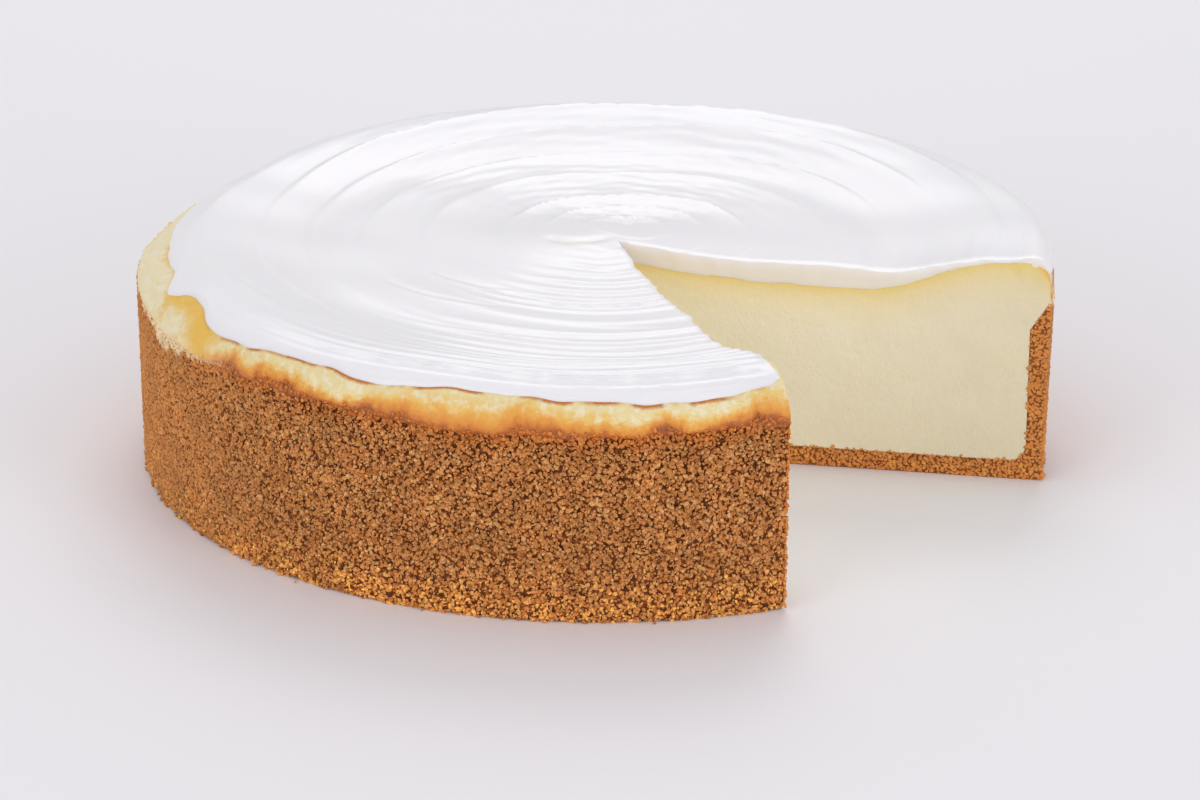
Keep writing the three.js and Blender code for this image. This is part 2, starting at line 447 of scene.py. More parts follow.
def weldedPiece(name, bm, sharpAngle=40):
    bmesh.ops.remove_doubles(bm, verts=bm.verts, dist=cake["weld"])
    bmesh.ops.dissolve_degenerate(bm, edges=bm.edges, dist=cake["weld"])
    bmesh.ops.recalc_face_normals(bm, faces=bm.faces)
    openEdges = sum(1 for edge in bm.edges if not edge.is_manifold)
    mesh = bpy.data.meshes.new(name)
    bm.to_mesh(mesh)
    bm.free()
    mesh.polygons.foreach_set("use_smooth", np.ones(len(mesh.polygons), bool))
    mesh.set_sharp_from_angle(angle=math.radians(sharpAngle))
    print(name, len(mesh.polygons), "faces,", openEdges, "open edges")
    return newObject(name, mesh)


def newObject(name, data):
    item = bpy.data.objects.new(name, data)
    bpy.context.scene.collection.objects.link(item)
    return item


def cornersOf(mesh):
    corners = np.empty(len(mesh.vertices) * 3, np.float32)
    mesh.vertices.foreach_get("co", corners)
    return corners.reshape(-1, 3).astype(float)


def setCorners(mesh, corners):
    mesh.vertices.foreach_set("co", corners.astype(np.float32).ravel())
    mesh.update()


def addValues(mesh, **values):  # numbers at every corner, for the material to read
    for name, numbers in values.items():
        layer = mesh.attributes.new(name, "FLOAT", "POINT")
        layer.data.foreach_set("value", np.asarray(numbers, np.float32))


def besideCut(x, y, apex, heading):  # how far to the right of a cut's line, and how far along it
    x, y = x - apex[0], y - apex[1]
    return x * math.sin(heading) - y * math.cos(heading), x * math.cos(heading) + y * math.sin(heading)


def inWedge(x, y, apex, margin):  # points that stand in the missing wedge, by more than the margin
    far = besideCut(x, y, apex, cake["farCut"])[0]
    near = -besideCut(x, y, apex, cake["nearCut"])[0]
    return (far > margin) & (near > margin)


def onCut(x, y, apex, heading, near=0.02 * mm):  # corners that lie on one cut face
    offset, along = besideCut(x, y, apex, heading)
    return (np.abs(offset) < near) & (along > -near)


def roughenCuts(corners, apex, depth, shapes):  # uneven cut faces: corners on a cut move square to it
    x, y, z = corners.T.copy()
    onFar = onCut(x, y, apex, cake["farCut"])
    onNear = onCut(x, y, apex, cake["nearCut"])
    bump = sum(shape(x, y, z) for shape in shapes) * depth
    for mask, heading, side in ((onFar & ~onNear, cake["farCut"], -1), (onNear & ~onFar, cake["nearCut"], 1)):
        corners[mask, 0] += side * -math.sin(heading) * bump[mask]
        corners[mask, 1] += side * math.cos(heading) * bump[mask]
    return onFar | onNear


def finishPiece(piece, material, node):
    piece.data.transform(Matrix.Translation((*cake["axis"], 0)))
    piece.data.materials.clear()
    piece.data.materials.append(material)
    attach(piece, "root")
    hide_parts(node)
    return piece


# material helpers

def tone(red, green, blue):  # a colour as a screen shows it, 0 to 255
    def linear(value):
        value = value / 255
        return value / 12.92 if value <= 0.04045 else ((value + 0.055) / 1.055) ** 2.4
    return (linear(red), linear(green), linear(blue), 1)


def newFinish(name, values):  # a material with these uniform values on its shader
    material = bpy.data.materials.new(name)
    material.use_nodes = True
    surface = material.node_tree.nodes["Principled BSDF"]
    for socket, value in values.items():
        surface.inputs[socket].default_value = value
    return material, material.node_tree


def place(tree, kind, **values):
    node = tree.nodes.new(kind)
    for key, value in values.items():
        if key in node.inputs:
            node.inputs[key].default_value = value
        else:
            setattr(node, key, value)
    return node


def fill(tree, slots, values):  # sets each slot, or links it when the value comes from another node
    for slot, value in zip(slots, values):
        if isinstance(value, (int, float, tuple)):
            slot.default_value = value
        else:
            tree.links.new(value, slot)


def noise(tree, scale, detail=3, roughness=0.55):  # scale in lumps to a metre
    node = place(tree, "ShaderNodeTexNoise", Scale=scale, Detail=detail, Roughness=roughness)
    where = tree.nodes.new("ShaderNodeTexCoord")
    tree.links.new(where.outputs["Object"], node.inputs["Vector"])
    return node.outputs["Fac"]


def calc(tree, operation, *values):
    node = place(tree, "ShaderNodeMath", operation=operation)
    fill(tree, node.inputs, values)
    return node.outputs[0]


def product(tree, first, *others):
    for other in others:
        first = calc(tree, "MULTIPLY", first, other)
    return first


def ramp(tree, value, stops):  # stops are (place in the value's own units, colour or grey level)
    low, high = stops[0][0], stops[-1][0]
    colours = [stop[1] if isinstance(stop[1], tuple) else (stop[1], stop[1], stop[1], 1) for stop in stops]
    spread = place(tree, "ShaderNodeMapRange")
    fill(tree, spread.inputs, (value, low, high))
    node = tree.nodes.new("ShaderNodeValToRGB")
    elements = node.color_ramp.elements
    elements[0].position, elements[0].color = 0, colours[0]
    elements[1].position, elements[1].color = 1, colours[-1]
    for stop, colour in zip(stops[1:-1], colours[1:-1]):
        elements.new((stop[0] - low) / (high - low)).color = colour
    tree.links.new(spread.outputs[0], node.inputs["Fac"])
    return node.outputs["Color"]


def mix(tree, share, first, second, blend="MIX"):
    node = place(tree, "ShaderNodeMix", data_type="RGBA", blend_type=blend)
    fill(tree, (node.inputs[0], node.inputs[6], node.inputs[7]), (share, first, second))
    return node.outputs[2]


def read(tree, name):
    return place(tree, "ShaderNodeAttribute", attribute_name=name).outputs["Fac"]


def dress(tree, colour, height, strength, distance):  # the base colour, and a bump from that height
    surface = tree.nodes["Principled BSDF"]
    bump = place(tree, "ShaderNodeBump", Strength=strength, Distance=distance)
    tree.links.new(colour, surface.inputs["Base Color"])
    tree.links.new(height, bump.inputs["Height"])
    tree.links.new(bump.outputs["Normal"], surface.inputs["Normal"])


# the filling's finish: pale inside, and a baked skin from brown at the crust to cream on the rim
fillingLook = dict(
    # the inside runs from insideWarmLit at the cut point out to inside at the rim; its brighter near end is
    # partly painted light
    inside=tone(231, 219, 186),
    insideMid=tone(249, 239, 210),
    insideWarmLit=tone(255, 246, 217),
    skinLine=tone(240, 206, 88),
    cornerSpot=tone(232, 150, 44),
    brown=tone(158, 84, 34),
    rust=tone(200, 112, 42),
    amber=tone(228, 144, 50),
    gold=tone(240, 176, 76),
    straw=tone(241, 200, 110),
    pale=tone(241, 221, 164),
    chalk=tone(245, 236, 208),
    patch=tone(242, 194, 62),
    edgeBrown=tone(200, 122, 50),
)


def fillingMaterial():
    look = fillingLook
    material, tree = newFinish("bakedFilling", {
        "Roughness": 0.48, "Subsurface Weight": 0.2, "Subsurface Radius": (1.0, 0.7, 0.35),
        "Subsurface Scale": 1.5 * mm})
    fromPoint = read(tree, "fromPoint")
    underTop = read(tree, "underTop")

    # baked band: the gold climbs as far as goldReach, with a ragged edge
    ragged = calc(tree, "MULTIPLY_ADD", noise(tree, 750, 5, 0.7), 3.4, -1.7)
    slow = calc(tree, "MULTIPLY_ADD", noise(tree, 130), 5.0, -2.5)
    climb = calc(tree, "ADD", calc(tree, "ADD", read(tree, "overCrumbs"), ragged), slow)
    climb = calc(tree, "DIVIDE", climb, read(tree, "goldReach"))
    band = ramp(tree, climb, [
        (-0.25, look["brown"]), (0.08, look["rust"]), (0.35, look["amber"]), (0.85, look["gold"]),
        (1.12, look["straw"]), (1.6, look["pale"])])

    # chalky crumbs on the pale part
    crumbly = ramp(tree, noise(tree, 420, 3, 0.6), [(0.5, 0), (0.58, 0.7), (0.8, 0.7)])
    crumbly = product(tree, crumbly, ramp(tree, climb, [(0.7, 0), (1.5, 1)]))
    band = mix(tree, crumbly, band, look["chalk"])
    band = mix(tree, product(tree, read(tree, "unbaked"), 0.4), band, look["chalk"])

    # golden patches where the cream stays further in, and a browned line beside the cream
    patch = calc(tree, "MULTIPLY_ADD", ragged, 1.3, read(tree, "goldPatch"))
    patch = calc(tree, "MULTIPLY_ADD", slow, 1.2, patch)
    patchTone = mix(tree, 0.8, look["straw"], mix(tree, 0.75, look["gold"], look["patch"]))
    band = mix(tree, ramp(tree, patch, [(-0.8, 0), (0.9, 0.7), (2.6, 0.95)]), band, patchTone)
    line = calc(tree, "MULTIPLY_ADD", ragged, 0.3, read(tree, "pastCream"))
    line = ramp(tree, line, [(-1.0, 0), (-0.3, 1), (0.35, 1), (1.0, 0)])
    broken = ramp(tree, noise(tree, 75), [(0.43, 0), (0.53, 1), (1.0, 1)])
    band = mix(tree, product(tree, line, broken, read(tree, "edgeLine")), band, look["edgeBrown"])

    # inside, as the knife left it: a golden line under the skin, warmest and brightest near the middle of the
    # cake, where the extra brightness is painted light for the part of the cut faces that the near part of
    # the cake keeps in shade
    warmAndLit = calc(tree, "MULTIPLY_ADD", noise(tree, 90, 4), 40.0, fromPoint)
    inside = ramp(tree, warmAndLit, [(30, look["insideWarmLit"]), (75, look["insideMid"]), (140, look["inside"])])
    depth = calc(tree, "MULTIPLY_ADD", noise(tree, 300, 2), 1.4, underTop)
    skin = ramp(tree, depth, [(0.6, 0.85), (1.9, 0.7), (3.8, 0.45), (7.5, 0.18), (14.0, 0)])
    inside = mix(tree, skin, inside, look["skinLine"])
    atRim = ramp(tree, fromPoint, [(117, 0), (120.5, 1)])
    nearTop = ramp(tree, depth, [(1.2, 0.9), (3.4, 0)])
    inside = mix(tree, product(tree, atRim, nearTop, read(tree, "farSide")), inside, look["cornerSpot"])
    cutMask = ramp(tree, underTop, [(0, 0), (0.35, 1), (60, 1)])
    grain = calc(tree, "MULTIPLY_ADD", noise(tree, 1300, 4, 0.65), 0.6, noise(tree, 420))
    dress(tree, mix(tree, cutMask, band, inside), grain, 0.6, 0.5 * mm)
    return material


def insideOfCrust(turns, apex, tuck):  # rows down the slope and wall, round the fillet, in to the cut point
    slopeRows, wallRows, bendRows, floorRows = 8, 10, 4, 8
    side = cake["radius"] - crust["wall"] + tuck
    floor = crust["base"] - tuck
    fillet = crust["fillet"]
    bendFoot = floor + fillet
    rows = []
    for share in np.linspace(0, 1, slopeRows + 1):
        rows.append((cake["radius"] + (side - cake["radius"]) * share, 1, -crust["slope"] * share))
    for share in np.linspace(0, 1, wallRows + 1)[1:]:
        rows.append((side, 1 - share, (1 - share) * -crust["slope"] + share * bendFoot))
    for bend in np.linspace(0, math.pi / 2, bendRows + 1)[1:]:
        rows.append((side - fillet * (1 - math.cos(bend)), 0, bendFoot - fillet * math.sin(bend)))
    for share in np.linspace(1, 0, floorRows + 1)[1:]:
        rows.append((share * (side - fillet), 0, floor))
    places = []
    for rowRadius, topShare, level in rows:
        reach = rayReach(rowRadius, turns, apex) if rowRadius else 0 * turns
        x, y = alongRay(reach, turns, apex)
        places.append((x, y, level + topShare * crustTop(np.arctan2(y, x))))
    return [np.array([place[axis] for place in places]) for axis in range(3)]


def makeFilling():
    bm = bmesh.new()
    apex = cutApex(0)
    turns = headings(filling["columns"])[None, :]

    # top: even rows to the hump, then rows that follow the shoulder's bend
    share = np.linspace(0, 1, filling["innerRows"] + 1)[:, None]
    inner = share * rayReach(filling["humpRadius"], turns, apex)
    bend = np.sin(np.linspace(0, math.pi / 2, filling["rimRows"] + 1))[1:, None]
    outer = rayReach(filling["humpRadius"] + rimWidth * bend, turns, apex)
    topX, topY = alongRay(np.concatenate([inner, outer]), turns, apex)
    spotRadius, spotTurn = polar(topX, topY)
    topZ = bedHeight(spotRadius, spotTurn)
    topZ[-1] = crustTop(spotTurn[-1])
    addSheet(bm, topX, topY, topZ)

    # side and underside, tucked a little into the crust
    low = insideOfCrust(turns[0], apex, filling["tuck"])
    addSheet(bm, *low)
    closeCuts(bm, (topX, topY, topZ), low, filling["cutRows"], filling["innerRows"] + 1)
    piece = weldedPiece("filling", bm)

    # lumps on the shoulder, none under the cream's lip, and the knife's slight waviness on the cut faces
    corners = cornersOf(piece.data)
    x, y, z = corners.T.copy()
    spotRadius, spotTurn = polar(x, y)
    under = bedHeight(spotRadius, spotTurn) - z
    over = z - crustTop(spotTurn)
    pale = unbaked(spotTurn)
    outside = (spotRadius > filling["humpRadius"]) & (over > 0) & (under < filling["skinDepth"])
    push = filling["lumps"] * (rimLumps(x, y, z) - 1) * smoothStep(over, 0, filling["lumpReach"])
    crumbly = filling["crumbly"] * (1 + filling["crumblyLeft"] * pale)
    push += crumbly * fineLumps(x, y, z) * smoothStep(over, 0, filling["crumblyReach"])
    push *= outside * smoothStep(spotRadius - toppingEdge(spotTurn), 0, filling["underLip"])
    corners[:, 0] += push * np.cos(spotTurn)
    corners[:, 1] += push * np.sin(spotTurn)
    cutMask = roughenCuts(corners, apex, filling["cutDepth"], filling["cutLumps"])
    setCorners(piece.data, corners)
    pastCream = (spotRadius - toppingEdge(spotTurn)) / mm
    fromCut = np.abs(besideCut(x, y, apex, cake["nearCut"])[0])
    addValues(
        piece.data,
        overCrumbs=(over - fringeTop(spotTurn)) / mm + filling["paler"] * pale,
        unbaked=pale,
        edgeLine=(1 - pale) * smoothStep(fromCut, *filling["noLine"]),
        pastCream=pastCream,
        goldReach=goldReach(spotTurn),
        goldPatch=patchReach(spotTurn) - np.maximum(pastCream, -0.6),  # no gold where the cream is drawn back
        underTop=np.where(cutMask, np.maximum(under, 0) / mm + 0.36, 0),  # the material reads 0.35 up as cut
        fromPoint=np.hypot(x - apex[0], y - apex[1]) / mm,
        farSide=np.where(np.sin(spotTurn) > -0.5, 1.0, 0.0))
    return finishPiece(piece, fillingMaterial(), "baked_filling")


# the cream's finish: white, soft and slightly wet
creamLook = dict(
    white=tone(249, 246, 250),
    shade=tone(245, 242, 246),
    cutTint=tone(240, 232, 218),
    thinTint=tone(244, 234, 216),
    thinShare=0.4,
    cutShare=0.35,  # of the cut's tint at its top, and all of it lower down
    cutFull=(0.4 * mm, 2.6 * mm),
)


def creamMaterial():
    look = creamLook
    material, tree = newFinish("creamTopping", {
        "Roughness": 0.34, "Subsurface Weight": 0.3, "Subsurface Radius": (1.0, 0.9, 0.75),
        "Subsurface Scale": 2.0 * mm, "Coat Weight": 0.15, "Coat Roughness": 0.2})
    colour = mix(tree, noise(tree, 40, 2), look["white"], look["shade"])
    colour = mix(tree, read(tree, "onCut"), colour, look["cutTint"])
    colour = mix(tree, read(tree, "thin"), colour, look["thinTint"])
    dress(tree, colour, noise(tree, 260), 0.12, 0.4 * mm)
    return material


def drawBack(corners, apex):  # the cream stays a little short of the near cut, in steps
    heading = cake["nearCut"]
    inward, along = besideCut(corners[:, 0], corners[:, 1], apex, heading)
    step = (1 - stepProfile(along, cream["steps"], cream["stepDrop"])) / 2
    shift = cream["stepDepth"] * step * smoothStep(along, *cream["stepStart"])
    shift *= np.clip(1 - inward / cream["stepReach"], 0, 1) * (inward > -1 * mm)
    corners[:, 0] += shift * math.sin(heading)
    corners[:, 1] -= shift * math.cos(heading)


def roundOff(away, shape):  # how far a top edge comes down near a cut
    return shape["depth"] * np.clip(1 - away / shape["width"], 0, 1) ** 2


def makeCream():
    bm = bmesh.new()
    apex = cutApex(cream["proud"])
    turns = headings(cream["columns"])[None, :]
    edgeX, edgeY = alongRay(rayReach(cake["radius"], turns[0], apex), turns[0], apex)
    edge = toppingEdge(np.arctan2(edgeY, edgeX))
    share = np.linspace(0, 1, cream["rows"] + 1)[:, None]
    topX, topY = alongRay(share * rayReach(edge - cream["lip"], turns[0], apex)[None, :], turns, apex)
    topZ = toppingHeight(*polar(topX, topY))

    # rounded lip, down to the filling
    bend = np.linspace(0, math.pi / 2, cream["lipSteps"] + 1)[1:, None]
    lipRadius = edge[None, :] - cream["lip"] * (1 - np.sin(bend))
    lipX, lipY = alongRay(rayReach(lipRadius, turns, apex), turns, apex)
    lipTurn = np.arctan2(lipY, lipX)
    thick = topZ[-1] - bedHeight(edge - cream["lip"], lipTurn[0])
    fallen = thick[None, :] * np.cos(bend) ** cream["lipBend"] - cream["sunk"] * np.sin(bend)
    lipZ = bedHeight(lipRadius, lipTurn) + fallen
    crownX, crownY, crownZ = (np.concatenate(pair) for pair in ((topX, lipX), (topY, lipY), (topZ, lipZ)))

    # softly rounded where the knife went through
    out = np.hypot(crownX - apex[0], crownY - apex[1])
    toFar, toNear = (turns - turns[0, 0]) * out, (turns[0, -1] - turns) * out
    both, near = cream["rounding"], cream["nearRounding"]
    crownZ -= roundOff(np.minimum(toFar, toNear), both) * (out > both["start"])
    crownZ -= roundOff(toNear, near) * smoothStep(out, near["start"], near["full"])
    least = np.concatenate([np.full(len(topZ), cream["leastDepth"]), np.full(len(lipZ), -1)])[:, None]
    crownZ = np.maximum(crownZ, bedHeight(*polar(crownX, crownY)) + least)
    addSheet(bm, crownX, crownY, crownZ)

    # underside, just below the filling's top
    downShare = np.linspace(1, 0, cream["lowRows"] + 1)[:, None]
    lowX, lowY = alongRay(downShare * rayReach(edge, turns[0], apex)[None, :], turns, apex)
    lowZ = bedHeight(*polar(lowX, lowY)) - cream["sunk"]
    lowX[0], lowY[0], lowZ[0] = crownX[-1], crownY[-1], crownZ[-1]
    addSheet(bm, lowX, lowY, lowZ)
    closeCuts(bm, (crownX, crownY, crownZ), (lowX, lowY, lowZ), cream["cutRows"])
    piece = weldedPiece("creamTopping", bm)
    corners = cornersOf(piece.data)
    spotRadius, spotTurn = polar(*corners.T[:2])
    cutMask = roughenCuts(corners, apex, cream["cutDepth"], cream["cutLumps"])
    drawBack(corners, apex)
    setCorners(piece.data, corners)
    belowTop = toppingHeight(spotRadius, spotTurn) - corners[:, 2]
    look = creamLook
    cutShare = look["cutShare"] + (1 - look["cutShare"]) * smoothStep(belowTop, *look["cutFull"])
    addValues(piece.data, onCut=cutMask * cutShare, thin=look["thinShare"] * thinArc(spotRadius, spotTurn))
    return finishPiece(piece, creamMaterial(), "cream_topping")


# the crust: a dark body just under the surface, its dark tones painted shade for the gaps between crumbs, and
# all the crumbs that are pressed into it
body = dict(
    sunk=0.5 * mm,
    cutSunk=0.45 * mm,
    topSunk=0.3 * mm,
    footRun=2.4 * mm,  # its foot is bevelled from here in to footTop
    footMiddle=(1.2 * mm, 0.9 * mm),
    footTop=1.8 * mm,
    lean=0.6,
    lumps=0.25 * mm,
    floorRows=6,
    wallRows=44,
    cutRows=5,
    columns=440,
)
bodyLumps = mottle(81, 3.2 * mm)
coat = dict(
    hanging=[(204, 3.0, 90), (158, 1.8, 20), (4, 4.5, 60)],  # turn, mm down the wall, sharpness
    corner=[(4, 1.8, 40)],
    ragged=1.1 * mm,
    edge=(-0.3 * mm, 1.2 * mm),
    share=0.95,
)
slowShade = mottle(95, 16 * mm)
quickShade = mottle(96, 5 * mm)
crumbLook = dict(
    pitShade=tone(62, 28, 8),
    body=tone(108, 56, 22),
    paintedLitBody=tone(160, 104, 58),
    dark=tone(172, 98, 44),
    mid=tone(212, 142, 76),
    light=tone(232, 176, 112),
    baked=tone(208, 112, 34),
    gold=tone(244, 184, 96),
    cut=tone(228, 144, 68),
    coated=tone(252, 230, 188),
    edge=tone(236, 134, 46),
    # painted light on the left side of the crust: lighter, cooler crumbs with less contrast
    leftLightTint=[1.04, 1.09, 1.16],
    leftLitShare=0.65,
    leftLightCalm=0.9,  # how much less contrast there, painted as the flatter light on that side
    bakedShare=0.7,
    bakedEdge=(-7 * mm, 0.5 * mm),
    footEdge=(0.5 * mm, 16 * mm),
    # painted light near the foot: light thrown up from the floor
    footBounceLight=[0.16, 0.08, -0.04],
    goldShare=0.36,
    # how far the body turns paler where painted light falls
    paler=0.8,
)


def crustMaterial():
    look = crumbLook
    material, tree = newFinish("crustBody", {"Roughness": 0.85, "Specular IOR Level": 0.2})
    shade = noise(tree, 800, 4, 0.7)
    # painted shade: the body's darkest tones stand for the shade in the pits between crumbs
    colour = ramp(tree, shade, [(0.36, look["pitShade"]), (0.52, look["body"]), (0.68, look["dark"])])
    # painted light: a paler body where the crust is lit, on the left and on the cut faces
    colour = mix(tree, read(tree, "paler"), colour, look["paintedLitBody"])
    colour = mix(tree, read(tree, "coated"), colour, look["coated"])
    dress(tree, colour, shade, 0.6, 0.5 * mm)
    return material


def crumbMaterial():
    material, tree = newFinish("crumbs", {"Roughness": 0.75, "Specular IOR Level": 0.3})
    tint = place(tree, "ShaderNodeAttribute", attribute_name="crumbTint")
    grain = noise(tree, 1700, 4, 0.7)
    shade = ramp(tree, grain, [(0.38, 0.45), (0.5, 1.0), (0.62, 1.25)])
    colour = mix(tree, tint.outputs["Alpha"], tint.outputs["Color"], shade, "MULTIPLY")
    dress(tree, colour, grain, 0.7, 0.3 * mm)
    return material


def leftLitShare(turn):  # the left side, away from the front, where painted light makes the crust paler and softer
    return 1 - stretch(turn, 200, 238, 330, 360)


def coatShare(turn, z):  # on the left, and at the far corner, the filling's pale crumbs lie over the crust
    x, y = onRim(turn)
    coated = np.clip(unbaked(turn) + swells(turn, coat["corner"]), 0, 1)
    edge = crustTop(turn) - mm * swells(turn, coat["hanging"]) + coat["ragged"] * quickShade(x, y, z)
    return smoothStep(z - edge, *coat["edge"]) * coated


def makeCrust():
    bm = bmesh.new()
    apex = cutApex(-2 * body["cutSunk"])
    turns = headings(body["columns"])[None, :][0]
    outerRadius = cake["radius"] - body["sunk"]
    innerRadius = cake["radius"] - crust["wall"]
    fillet = crust["fillet"]

    def row(radius, level):  # a level below zero counts from the top
        reach = rayReach(radius, turns, apex) if radius > 0.01 * mm else 0 * turns
        x, y = alongRay(reach, turns, apex)
        top = crustTop(np.arctan2(y, x)) - body["topSunk"]
        return x, y, (top + level if level < 0 else level + 0 * x)

    floorShares = np.linspace(0, 1, body["floorRows"] + 1)
    rows = [row(share * (outerRadius - body["footRun"]), 0.0) for share in floorShares]
    rows.append(row(outerRadius - body["footMiddle"][0], body["footMiddle"][1]))
    for share in np.linspace(0, 1, body["wallRows"] + 1):
        x, y, z = row(outerRadius - crust["footIn"] * (1 - share) * body["lean"], 0)
        turn = np.arctan2(y, x)
        z = body["footTop"] + share * (crustTop(turn) - body["topSunk"] - body["footTop"])
        push = body["lumps"] * bodyLumps(x, y, z) * math.sin(math.pi * share)
        rows.append((x + push * np.cos(turn), y + push * np.sin(turn), z))
    count = len(rows)
    inner = [
        (innerRadius, -crust["slope"]), (innerRadius, 32 * mm), (innerRadius, 20 * mm),
        (innerRadius, crust["base"] + fillet), (innerRadius - 0.3 * fillet, crust["base"] + 0.3 * fillet),
        (innerRadius - fillet, crust["base"])]
    inner += [(share * (innerRadius - fillet), crust["base"]) for share in np.linspace(0.8, 0, 5)]
    rows += [row(radius, level) for radius, level in inner]
    sheet = [np.array([row[axis] for row in rows]) for axis in range(3)]
    addSheet(bm, *sheet)
    outerPart, innerPart = [part[:count] for part in sheet], [part[count - 1:] for part in sheet]
    closeCuts(bm, outerPart, innerPart, body["cutRows"], body["floorRows"] + 2)
    piece = weldedPiece("crustBody", bm)
    x, y, z = cornersOf(piece.data).T
    turn = np.arctan2(y, x)
    cutMask = onCut(x, y, apex, cake["farCut"]) | onCut(x, y, apex, cake["nearCut"])
    # painted light: the body turns paler, so the gaps between crumbs look lighter, on the cut faces and on
    # the left side
    paler = crumbLook["paler"] * np.where(cutMask, 1, leftLitShare(turn))
    addValues(piece.data, paler=paler, coated=coatShare(turn, z))
    return finishPiece(piece, crustMaterial(), "crumb_crust")


# crumbs: real grains over the body, pressed flat by the tin and the knife
crumbs = dict(
    large=dict(
        pitch=1.04 * mm, rowPitch=0.92 * mm, jitter=0.36 * mm, sizes=(0.44 * mm, 0.86 * mm), share=0.8),
    small=dict(pitch=0.9 * mm, rowPitch=0.8 * mm, jitter=0.34 * mm, sizes=(0.3 * mm, 0.58 * mm), share=0.8),
    cut=dict(pitch=0.84 * mm, jitter=0.26 * mm, sizes=(0.4 * mm, 0.7 * mm)),
    loose=dict(count=240, inset=1.4 * mm, spread=0.3 * mm, sizes=(0.35 * mm, 0.7 * mm)),
    lowest=0.45 * mm,
    margin=0.3 * mm,
    above=9 * mm,  # how far past the crust's height the rows of places run
    sizeBias=1.2,
    uneven=0.11 * mm,
    cutUneven=0.6,
    tilt=0.13,
    proud=0.25 * mm,
    cutProud=0.1 * mm,
    depth=0.7,  # in sizes, how far each centre lies behind the pressed surface
    cutCentre=0.65,
    topRagged=0.35 * mm,
    innerRagged=0.15 * mm,
    footDrawn=0.8 * mm,
    footHeight=1.8 * mm,
    cutEdge=(0.3 * mm, 1.5 * mm),  # from the near cut, where the crumbs are browner
    cutEdgeShare=0.8,
)


def grainShape(small):  # an angular crumb: eight faces for a small one, twenty for a larger one
    bm = bmesh.new()
    if small:
        bmesh.ops.create_cone(bm, segments=4, radius1=1, radius2=0, depth=1)
        bmesh.ops.translate(bm, verts=bm.verts, vec=(0, 0, 0.5))
        tip = bm.verts.new((0, 0, -1))
        ring = [edge for edge in bm.edges if abs(edge.verts[0].co.z) + abs(edge.verts[1].co.z) < 0.01]
        for edge in ring:
            bm.faces.new((edge.verts[0], edge.verts[1], tip))
        bmesh.ops.recalc_face_normals(bm, faces=bm.faces)
    else:
        bmesh.ops.create_icosphere(bm, subdivisions=1, radius=1)
    bm.verts.index_update()
    corners = np.array([vert.co for vert in bm.verts])
    faces = np.array([[vert.index for vert in face.verts] for face in bm.faces])
    bm.free()
    return corners, faces


def turnedAtRandom(rng, count):  # rotation matrices from random quaternions
    q = rng.normal(size=(count, 4))
    q /= np.linalg.norm(q, axis=1, keepdims=True)
    w, x, y, z = q.T
    return np.stack([
        np.stack([1 - 2 * (y * y + z * z), 2 * (x * y - z * w), 2 * (x * z + y * w)], axis=1),
        np.stack([2 * (x * y + z * w), 1 - 2 * (x * x + z * z), 2 * (y * z - x * w)], axis=1),
        np.stack([2 * (x * z - y * w), 2 * (y * z + x * w), 1 - 2 * (x * x + y * y)], axis=1)], axis=1)


def grainPiece(name, grains, seed, small=False):
    rng = np.random.default_rng(seed)
    centres, sizes, tints, presses = grains
    corners, faces = grainShape(small)
    count = len(centres)
    shapes = corners[None] * rng.uniform(0.7, 1.35, (count, 1, 3))  # longer or shorter each way
    shapes = shapes * rng.uniform(0.68, 1.25, (count, len(corners), 1))  # and each corner in or out
    shapes = np.einsum("nij,nkj->nki", turnedAtRandom(rng, count), shapes)
    places = centres[:, None, :] + shapes * sizes[:, None, None]

    # each is pressed flat by the tin or the knife: a direction and how far out that surface is
    facing = presses[:, None, :3]
    beyond = (places * facing).sum(axis=2) - presses[:, None, 3]
    places -= np.maximum(beyond, 0)[:, :, None] * facing
    places[:, :, 2] = np.maximum(places[:, :, 2], 0.0)
    faceList = (faces[None] + (np.arange(count) * len(corners))[:, None, None]).reshape(-1, 3)
    mesh = bpy.data.meshes.new(name)
    mesh.from_pydata(places.reshape(-1, 3), [], faceList)
    layer = mesh.attributes.new("crumbTint", "FLOAT_COLOR", "POINT")
    turn = np.arctan2(centres[:, 1], centres[:, 0])
    # painted light: less contrast on the left side; coated crumbs keep their flat tint
    contrast = (1 - crumbLook["leftLightCalm"] * leftLitShare(turn)) * (1 - coatShare(turn, centres[:, 2]))
    perCrumb = np.concatenate([tints, contrast[:, None]], axis=1)
    layer.data.foreach_set("color", np.repeat(perCrumb, len(corners), axis=0).ravel())
    mesh.update()
    print(name, count, "crumbs,", len(faceList), "faces")
    return newObject(name, mesh)


def mixTints(share, first, second):
    share = np.clip(share, 0, 1)[:, None]
    return first * (1 - share) + second * share


def pickedTint(name):
    return np.array(crumbLook[name][:3])


